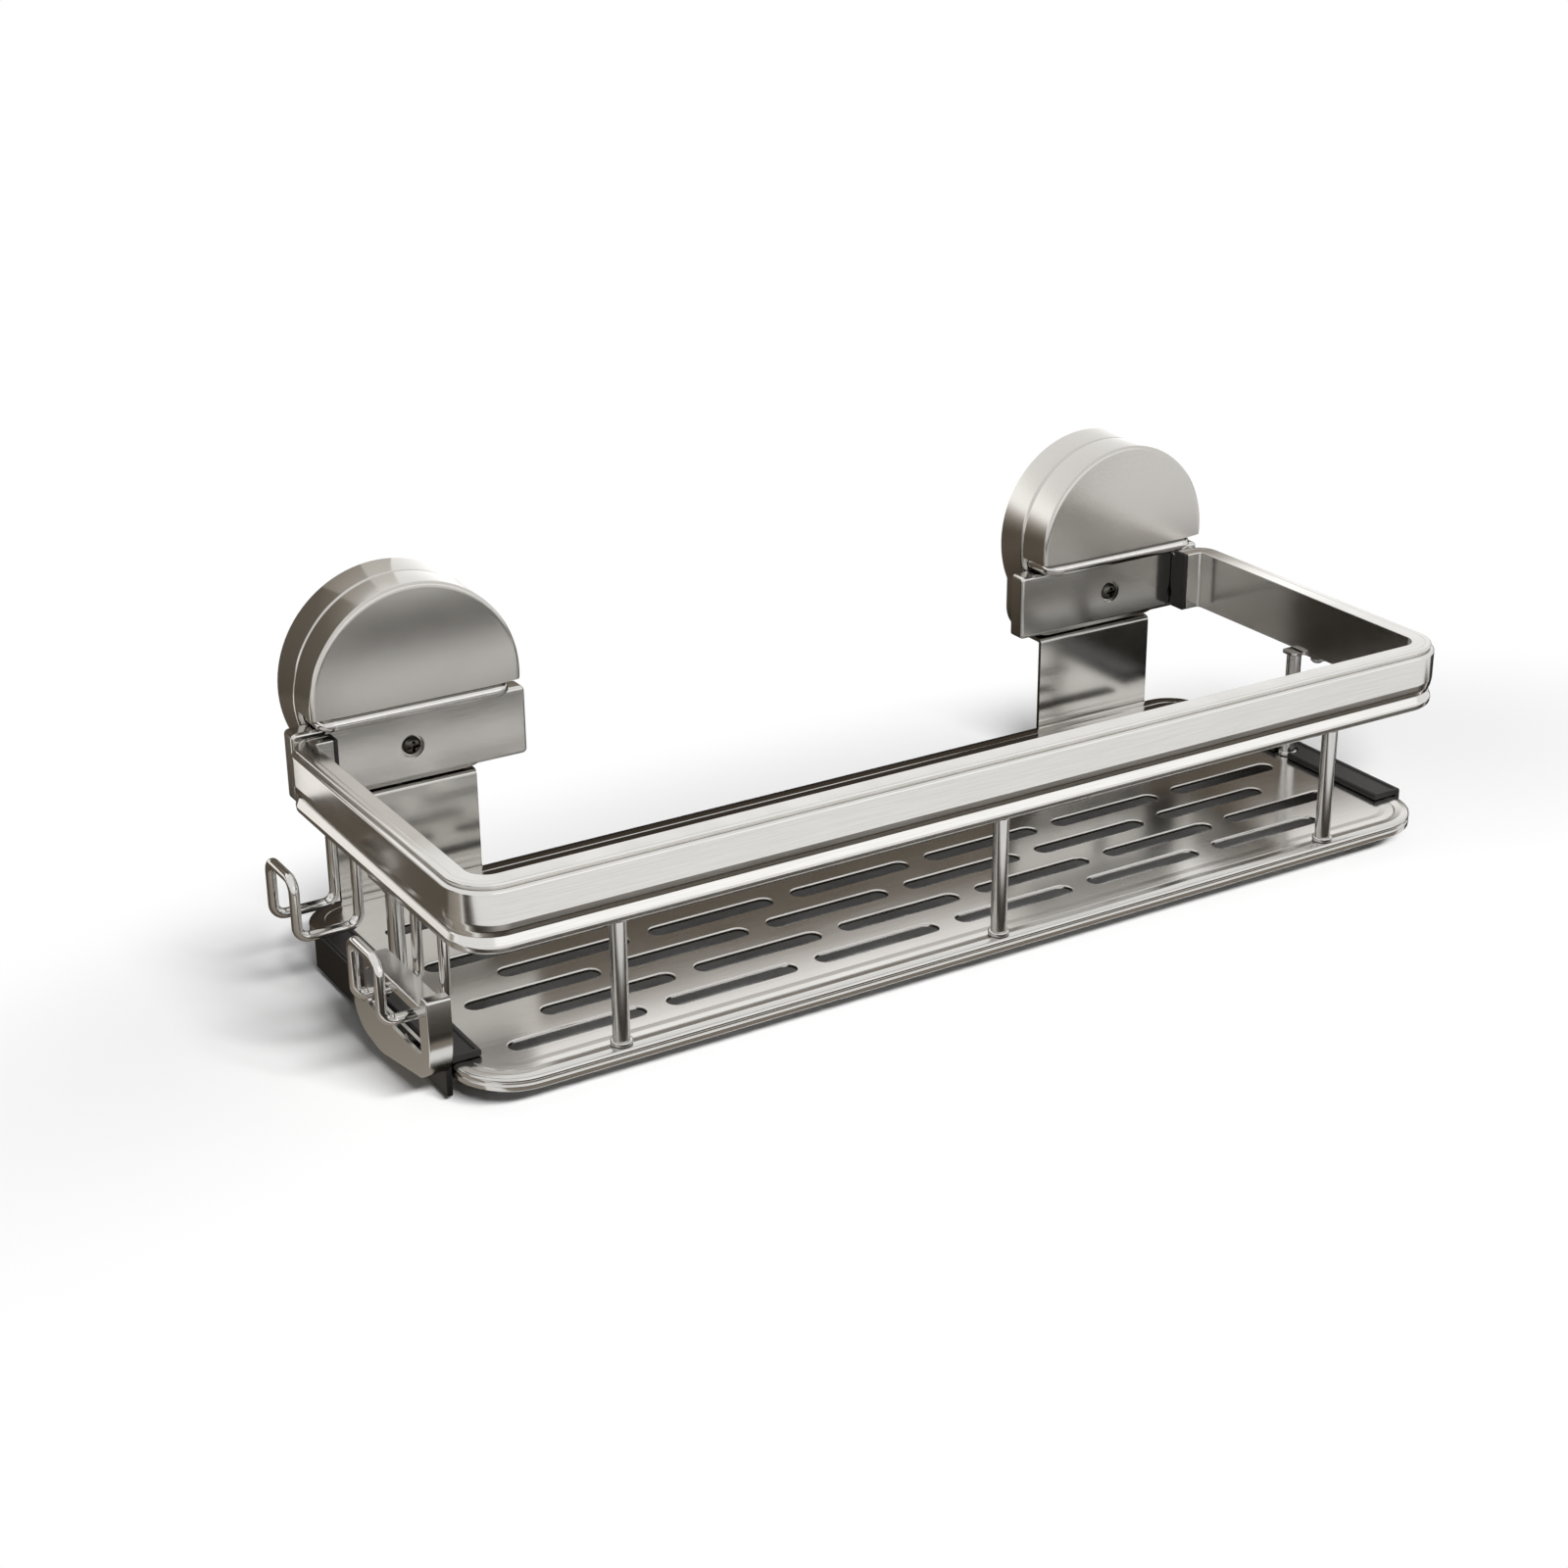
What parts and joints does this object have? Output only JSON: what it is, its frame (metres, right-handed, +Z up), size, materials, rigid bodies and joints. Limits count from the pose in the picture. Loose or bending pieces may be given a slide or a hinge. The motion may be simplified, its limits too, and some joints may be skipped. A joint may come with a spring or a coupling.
{
  "type": "shower basket",
  "caption": "Wall-held shower basket: slotted tray hung under a U-shaped guard rail on lever suction mounts, with sliding wire hooks and a side pocket.",
  "frame": {"origin": "on the wall plane, midway between the centres of the two suction pads", "axes": "+X along the wall to the right as seen from the room, +Y into the wall, +Z up; the basket lies at negative Y"},
  "size_m": [0.3982, 0.1558, 0.1225],
  "materials": {
    "rail_metal": "brushed and clear coated",
    "tray_steel": "fine brushed, glossy",
    "cover_metal": "satin",
    "polished_steel": "polished",
    "screw_steel": "bright",
    "dark_plastic": "satin black",
    "soft_rubber": "soft matt"
  },
  "bodies": {
    "basket": {"guard_rail": "rail_metal", "left_end_cap": "dark_plastic", "right_end_cap": "dark_plastic", "tray": "tray_steel", "front_post_left": "polished_steel", "front_post_centre": "polished_steel", "front_post_right": "polished_steel", "front_nut_left": "screw_steel", "front_nut_centre": "screw_steel", "front_nut_right": "screw_steel", "front_post_screw_left": "screw_steel", "front_post_screw_centre": "screw_steel", "front_post_screw_right": "screw_steel", "left_side_post": "polished_steel", "right_side_post": "polished_steel", "left_side_foot_screw": "screw_steel", "right_side_foot_screw": "screw_steel", "left_side_nut": "screw_steel", "right_side_nut": "screw_steel", "left_side_post_screw": "screw_steel", "right_side_post_screw": "screw_steel", "left_edge_strip": "dark_plastic", "right_edge_strip": "dark_plastic", "left_base": "cover_metal", "right_base": "cover_metal", "left_suction_pad": "soft_rubber", "right_suction_pad": "soft_rubber", "left_front_plate": "tray_steel", "right_front_plate": "tray_steel", "left_plate_screw": "screw_steel", "right_plate_screw": "screw_steel", "left_rail_screw": "screw_steel", "right_rail_screw": "screw_steel", "left_hanger": "tray_steel", "right_hanger": "tray_steel", "left_base_screw": "screw_steel", "right_base_screw": "screw_steel", "left_hanger_screw_inner": "screw_steel", "left_hanger_screw_outer": "screw_steel", "right_hanger_screw_inner": "screw_steel", "right_hanger_screw_outer": "screw_steel", "side_pocket": "tray_steel", "pocket_screw_front": "screw_steel", "pocket_screw_rear": "screw_steel"},
    "left_pull": {"left_bail": "polished_steel", "left_pull_yoke": "screw_steel"},
    "left_lever": {"left_lever": "cover_metal"},
    "right_pull": {"right_bail": "polished_steel", "right_pull_yoke": "screw_steel"},
    "right_lever": {"right_lever": "cover_metal"},
    "rear_hook": {"rear_hook": "polished_steel", "rear_hook_slider": "dark_plastic"},
    "front_hook": {"front_hook": "polished_steel", "front_hook_slider": "dark_plastic"}
  },
  "joints": [
    {"name": "left_pull_slide", "type": "slide", "parent": "basket", "child": "left_pull", "axis": [0, 1, 0], "range_m": [0, 0.003]},
    {"name": "left_lever_hinge", "type": "hinge", "parent": "left_pull", "child": "left_lever", "pos_m": [-0.1449, -0.0256, -0.0059], "axis": [1, 0, 0], "range_deg": [0, 90]},
    {"name": "right_pull_slide", "type": "slide", "parent": "basket", "child": "right_pull", "axis": [0, 1, 0], "range_m": [0, 0.003]},
    {"name": "right_lever_hinge", "type": "hinge", "parent": "right_pull", "child": "right_lever", "pos_m": [0.1449, -0.0256, -0.0059], "axis": [1, 0, 0], "range_deg": [0, 90]},
    {"name": "rear_hook_slide", "type": "slide", "parent": "basket", "child": "rear_hook", "axis": [0, 1, 0], "range_m": [-0.012, 0.01]},
    {"name": "front_hook_slide", "type": "slide", "parent": "basket", "child": "front_hook", "axis": [0, 1, 0], "range_m": [-0.004, 0.008]}
  ],
  "couplings": [
    {"joint": "left_pull_slide", "follows": "left_lever_hinge", "m_per_rad": 0.0019098},
    {"joint": "right_pull_slide", "follows": "right_lever_hinge", "m_per_rad": 0.0019098}
  ]
}
